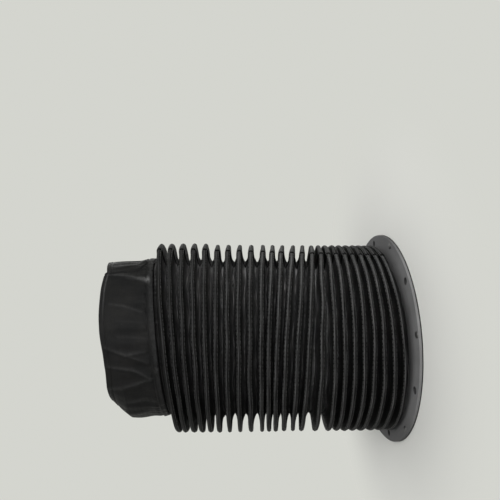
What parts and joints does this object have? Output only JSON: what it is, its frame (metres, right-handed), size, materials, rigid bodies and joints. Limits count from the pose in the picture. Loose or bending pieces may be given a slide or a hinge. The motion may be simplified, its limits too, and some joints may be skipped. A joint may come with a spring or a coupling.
{
  "type": "telescopic cover",
  "caption": "Round pleated cloth cover on wire rings, with a stiff mounting flange and a soft clamping cuff, that shields a moving rod or screw.",
  "frame": {"origin": "centre of the flange's underside", "axes": "+Z along the tube, from the flange to the cuff; +X is the side that faced up in the picture, and the camera stood on the -Y side"},
  "size_m": [0.212, 0.212, 0.2836],
  "materials": {
    "flange_cloth": "matte coated cloth",
    "flange_plate": "matte grey",
    "rivet": "brushed",
    "bellows_cloth": "semi-matte polyurethane-coated cloth",
    "ring_wire": "drawn spring wire",
    "seam_tape": "woven tape",
    "cuff_cloth": "semi-matte coated cloth"
  },
  "bodies": {
    "flange_end": {"fabric_flange": "flange_cloth", "flange_plate": "flange_plate", "flange_rivets": "rivet", "bellows_skin": "bellows_cloth"},
    "fold_01": {"support_ring_01": "ring_wire"},
    "fold_02": {"support_ring_02": "ring_wire"},
    "fold_03": {"support_ring_03": "ring_wire"},
    "fold_04": {"support_ring_04": "ring_wire"},
    "fold_05": {"support_ring_05": "ring_wire"},
    "fold_06": {"support_ring_06": "ring_wire"},
    "fold_07": {"support_ring_07": "ring_wire"},
    "fold_08": {"support_ring_08": "ring_wire"},
    "fold_09": {"support_ring_09": "ring_wire"},
    "fold_10": {"support_ring_10": "ring_wire"},
    "fold_11": {"support_ring_11": "ring_wire"},
    "fold_12": {"support_ring_12": "ring_wire"},
    "fold_13": {"support_ring_13": "ring_wire"},
    "fold_14": {"support_ring_14": "ring_wire"},
    "fold_15": {"support_ring_15": "ring_wire"},
    "fold_16": {"support_ring_16": "ring_wire"},
    "fold_17": {"support_ring_17": "ring_wire"},
    "fold_18": {"support_ring_18": "ring_wire"},
    "fold_19": {"support_ring_19": "ring_wire"},
    "fold_20": {"support_ring_20": "ring_wire"},
    "fold_21": {"support_ring_21": "ring_wire"},
    "fold_22": {"support_ring_22": "ring_wire"},
    "fold_23": {"support_ring_23": "ring_wire"},
    "fold_24": {"support_ring_24": "ring_wire"},
    "cuff_end": {"neck_band": "seam_tape", "cuff_sleeve": "cuff_cloth"}
  },
  "joints": [
    {"name": "fold_01_slide", "type": "slide", "parent": "flange_end", "child": "fold_01", "axis": [0.0401, 0.0296, 0.9988], "range_m": [-0.00057, 0.0015], "stiffness_N_per_m": 2500, "springref_m": 0.00227},
    {"name": "fold_02_slide", "type": "slide", "parent": "fold_01", "child": "fold_02", "axis": [0.0401, 0.0296, 0.9988], "range_m": [-0.00133, 0.00351], "stiffness_N_per_m": 2081, "springref_m": 0.00262},
    {"name": "fold_03_slide", "type": "slide", "parent": "fold_02", "child": "fold_03", "axis": [0.0401, 0.0296, 0.9988], "range_m": [-0.00129, 0.00338], "stiffness_N_per_m": 2159, "springref_m": 0.00242},
    {"name": "fold_04_slide", "type": "slide", "parent": "fold_03", "child": "fold_04", "axis": [0.0401, 0.0296, 0.9988], "range_m": [-0.00124, 0.00326], "stiffness_N_per_m": 2242, "springref_m": 0.00224},
    {"name": "fold_05_slide", "type": "slide", "parent": "fold_04", "child": "fold_05", "axis": [0.0401, 0.0296, 0.9988], "range_m": [-0.002, 0.00526], "stiffness_N_per_m": 1388, "springref_m": 0.00346},
    {"name": "fold_06_slide", "type": "slide", "parent": "fold_05", "child": "fold_06", "axis": [0.0401, 0.0296, 0.9988], "range_m": [-0.00195, 0.00514], "stiffness_N_per_m": 1421, "springref_m": 0.00322},
    {"name": "fold_07_slide", "type": "slide", "parent": "fold_06", "child": "fold_07", "axis": [0.0401, 0.0296, 0.9988], "range_m": [-0.0019, 0.00501], "stiffness_N_per_m": 1457, "springref_m": 0.00299},
    {"name": "fold_08_slide", "type": "slide", "parent": "fold_07", "child": "fold_08", "axis": [0.0401, 0.0296, 0.9988], "range_m": [-0.00186, 0.00488], "stiffness_N_per_m": 1494, "springref_m": 0.00277},
    {"name": "fold_09_slide", "type": "slide", "parent": "fold_08", "child": "fold_09", "axis": [0.0401, 0.0296, 0.9988], "range_m": [-0.00181, 0.00476], "stiffness_N_per_m": 1534, "springref_m": 0.00255},
    {"name": "fold_10_slide", "type": "slide", "parent": "fold_09", "child": "fold_10", "axis": [0.0401, 0.0296, 0.9988], "range_m": [-0.00235, 0.00618], "stiffness_N_per_m": 1181, "springref_m": 0.00313},
    {"name": "fold_11_slide", "type": "slide", "parent": "fold_10", "child": "fold_11", "axis": [0.0401, 0.0296, 0.9988], "range_m": [-0.00289, 0.0076], "stiffness_N_per_m": 961, "springref_m": 0.00362},
    {"name": "fold_12_slide", "type": "slide", "parent": "fold_11", "child": "fold_12", "axis": [0.0401, 0.0296, 0.9988], "range_m": [-0.00343, 0.00902], "stiffness_N_per_m": 809, "springref_m": 0.00403},
    {"name": "fold_13_slide", "type": "slide", "parent": "fold_12", "child": "fold_13", "axis": [0.0401, 0.0296, 0.9988], "range_m": [-0.00324, 0.00852], "stiffness_N_per_m": 857, "springref_m": 0.00355},
    {"name": "fold_14_slide", "type": "slide", "parent": "fold_13", "child": "fold_14", "axis": [0.0401, 0.0296, 0.9988], "range_m": [-0.002, 0.00526], "stiffness_N_per_m": 1388, "springref_m": 0.00203},
    {"name": "fold_15_slide", "type": "slide", "parent": "fold_14", "child": "fold_15", "axis": [0.0401, 0.0296, 0.9988], "range_m": [-0.002, 0.00526], "stiffness_N_per_m": 1388, "springref_m": 0.00188},
    {"name": "fold_16_slide", "type": "slide", "parent": "fold_15", "child": "fold_16", "axis": [0.0401, 0.0296, 0.9988], "range_m": [-0.00541, 0.01425], "stiffness_N_per_m": 511, "springref_m": 0.00467, "deforming": ["bellows_skin"]},
    {"name": "fold_17_slide", "type": "slide", "parent": "fold_16", "child": "fold_17", "axis": [0.0401, 0.0296, 0.9988], "range_m": [-0.00533, 0.01403], "stiffness_N_per_m": 520, "springref_m": 0.00417},
    {"name": "fold_18_slide", "type": "slide", "parent": "fold_17", "child": "fold_18", "axis": [0.0401, 0.0296, 0.9988], "range_m": [-0.00524, 0.01378], "stiffness_N_per_m": 530, "springref_m": 0.00367},
    {"name": "fold_19_slide", "type": "slide", "parent": "fold_18", "child": "fold_19", "axis": [0.0401, 0.0296, 0.9988], "range_m": [-0.00514, 0.01353], "stiffness_N_per_m": 540, "springref_m": 0.0032},
    {"name": "fold_20_slide", "type": "slide", "parent": "fold_19", "child": "fold_20", "axis": [0.0401, 0.0296, 0.9988], "range_m": [-0.0039, 0.01027], "stiffness_N_per_m": 711, "springref_m": 0.00212},
    {"name": "fold_21_slide", "type": "slide", "parent": "fold_20", "child": "fold_21", "axis": [0.0401, 0.0296, 0.9988], "range_m": [-0.00374, 0.00985], "stiffness_N_per_m": 741, "springref_m": 0.00174},
    {"name": "fold_22_slide", "type": "slide", "parent": "fold_21", "child": "fold_22", "axis": [0.0401, 0.0296, 0.9988], "range_m": [-0.00359, 0.00944], "stiffness_N_per_m": 774, "springref_m": 0.00138},
    {"name": "fold_23_slide", "type": "slide", "parent": "fold_22", "child": "fold_23", "axis": [0.0401, 0.0296, 0.9988], "range_m": [-0.00343, 0.00902], "stiffness_N_per_m": 809, "springref_m": 0.00105},
    {"name": "fold_24_slide", "type": "slide", "parent": "fold_23", "child": "fold_24", "axis": [0.0401, 0.0296, 0.9988], "range_m": [-0.00257, 0.00676], "stiffness_N_per_m": 1079, "springref_m": 0.00059},
    {"name": "cuff_slide", "type": "slide", "parent": "fold_24", "child": "cuff_end", "axis": [0.0401, 0.0296, 0.9988], "range_m": [-0.00114, 0.00301], "stiffness_N_per_m": 2428, "springref_m": 0.00017}
  ],
  "couplings": [
    {"joint": "fold_01_slide", "follows": "fold_16_slide", "ratio": 0.10526},
    {"joint": "fold_02_slide", "follows": "fold_16_slide", "ratio": 0.24561},
    {"joint": "fold_03_slide", "follows": "fold_16_slide", "ratio": 0.23684},
    {"joint": "fold_04_slide", "follows": "fold_16_slide", "ratio": 0.22807},
    {"joint": "fold_05_slide", "follows": "fold_16_slide", "ratio": 0.36842},
    {"joint": "fold_06_slide", "follows": "fold_16_slide", "ratio": 0.35965},
    {"joint": "fold_07_slide", "follows": "fold_16_slide", "ratio": 0.35088},
    {"joint": "fold_08_slide", "follows": "fold_16_slide", "ratio": 0.3421},
    {"joint": "fold_09_slide", "follows": "fold_16_slide", "ratio": 0.33333},
    {"joint": "fold_10_slide", "follows": "fold_16_slide", "ratio": 0.43275},
    {"joint": "fold_11_slide", "follows": "fold_16_slide", "ratio": 0.53216},
    {"joint": "fold_12_slide", "follows": "fold_16_slide", "ratio": 0.63158},
    {"joint": "fold_13_slide", "follows": "fold_16_slide", "ratio": 0.59649},
    {"joint": "fold_14_slide", "follows": "fold_16_slide", "ratio": 0.36842},
    {"joint": "fold_15_slide", "follows": "fold_16_slide", "ratio": 0.36842},
    {"joint": "fold_17_slide", "follows": "fold_16_slide", "ratio": 0.98246},
    {"joint": "fold_18_slide", "follows": "fold_16_slide", "ratio": 0.96491},
    {"joint": "fold_19_slide", "follows": "fold_16_slide", "ratio": 0.94737},
    {"joint": "fold_20_slide", "follows": "fold_16_slide", "ratio": 0.7193},
    {"joint": "fold_21_slide", "follows": "fold_16_slide", "ratio": 0.69006},
    {"joint": "fold_22_slide", "follows": "fold_16_slide", "ratio": 0.66082},
    {"joint": "fold_23_slide", "follows": "fold_16_slide", "ratio": 0.63158},
    {"joint": "fold_24_slide", "follows": "fold_16_slide", "ratio": 0.47368},
    {"joint": "cuff_slide", "follows": "fold_16_slide", "ratio": 0.21053}
  ]
}
